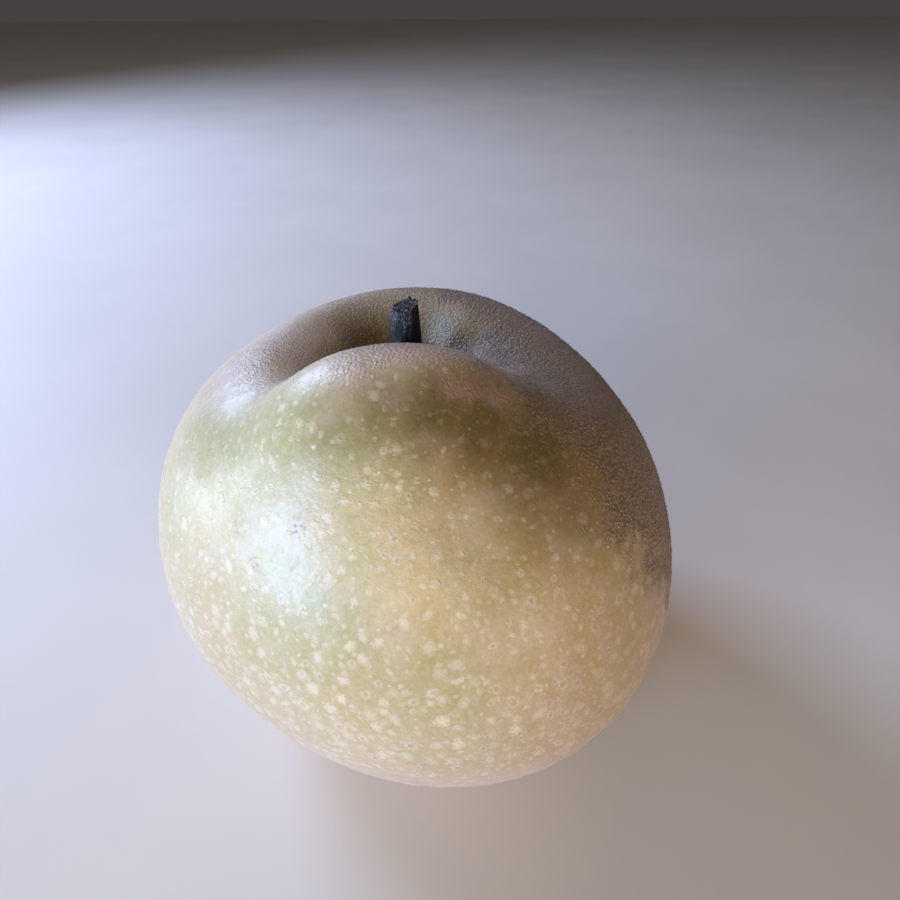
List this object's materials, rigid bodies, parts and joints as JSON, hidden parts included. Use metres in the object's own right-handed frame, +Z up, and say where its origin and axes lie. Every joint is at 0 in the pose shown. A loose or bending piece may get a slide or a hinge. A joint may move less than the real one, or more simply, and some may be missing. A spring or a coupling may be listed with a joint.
{
  "type": "nashi pear",
  "caption": "Whole nashi pear, round and slightly lopsided, with a deep stem cavity, a tall shoulder beside it and a short cut stem.",
  "frame": {"origin": "middle of the pear's plan, on the surface that it stands on", "axes": "+Z up towards the stem, -Y towards the tall shoulder, -Z out of the flat rim that it rests on"},
  "size_m": [0.0874, 0.0934, 0.0791],
  "materials": {
    "skin": "satin russet skin with pale raised dots",
    "stem": "rough dark bark"
  },
  "bodies": {
    "root": {"fruit": "skin", "stem": "stem"}
  },
  "joints": []
}
